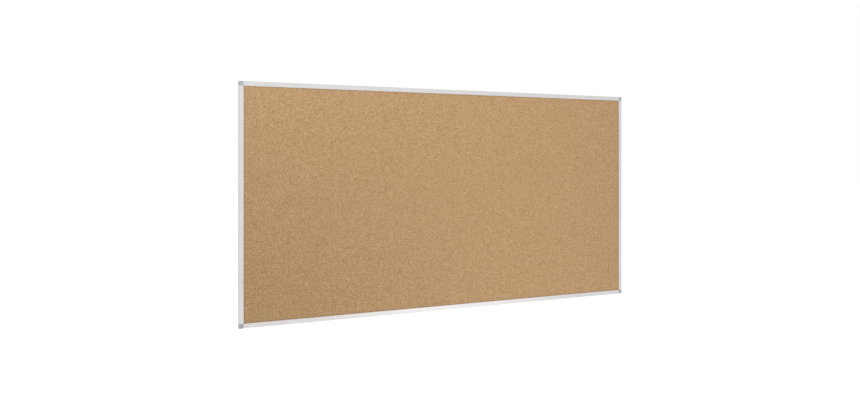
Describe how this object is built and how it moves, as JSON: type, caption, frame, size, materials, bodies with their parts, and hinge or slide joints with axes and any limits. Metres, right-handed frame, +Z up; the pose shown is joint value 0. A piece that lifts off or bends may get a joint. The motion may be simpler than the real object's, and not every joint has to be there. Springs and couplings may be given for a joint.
{
  "type": "cork bulletin board",
  "caption": "Landscape cork pin board for a classroom wall, in a slim square-cut aluminium frame with plug-in corner caps over its wall screw holes.",
  "frame": {"origin": "middle of the back, on the plane that lies against the wall, which is also the middle of the wall screw holes", "axes": "+X to the right as seen from the front, along the width; -Y out of the cork face, so +Y is into the wall; +Z up"},
  "size_m": [1.8, 0.0128, 0.9],
  "materials": {
    "cork": "fine agglomerated cork, matt",
    "fibreboard": "soft fibreboard, matt",
    "kraft_paper": "brown kraft paper, matt",
    "anodised_aluminium": "satin silver anodised",
    "connector_plastic": "light grey moulded, matt",
    "cap_plastic": "mid grey moulded, fine texture",
    "zinc_plated_steel": "bright zinc plated"
  },
  "bodies": {
    "board": {"cork_sheet": "cork", "core_board": "fibreboard", "backing_sheet": "kraft_paper", "frame_top": "anodised_aluminium", "frame_bottom": "anodised_aluminium", "frame_left": "anodised_aluminium", "frame_right": "anodised_aluminium", "corner_connector_top_left": "connector_plastic", "corner_connector_top_right": "connector_plastic", "corner_connector_bottom_left": "connector_plastic", "corner_connector_bottom_right": "connector_plastic", "connector_screws": "zinc_plated_steel"},
    "cap_top_left": {"corner_cap_top_left": "cap_plastic"},
    "cap_top_right": {"corner_cap_top_right": "cap_plastic"},
    "cap_bottom_left": {"corner_cap_bottom_left": "cap_plastic"},
    "cap_bottom_right": {"corner_cap_bottom_right": "cap_plastic"}
  },
  "joints": [
    {"name": "cap_top_left_pull", "type": "slide", "parent": "board", "child": "cap_top_left", "axis": [0, -1, 0], "range_m": [0, 0.02]},
    {"name": "cap_top_right_pull", "type": "slide", "parent": "board", "child": "cap_top_right", "axis": [0, -1, 0], "range_m": [0, 0.02]},
    {"name": "cap_bottom_left_pull", "type": "slide", "parent": "board", "child": "cap_bottom_left", "axis": [0, -1, 0], "range_m": [0, 0.02]},
    {"name": "cap_bottom_right_pull", "type": "slide", "parent": "board", "child": "cap_bottom_right", "axis": [0, -1, 0], "range_m": [0, 0.02]}
  ]
}
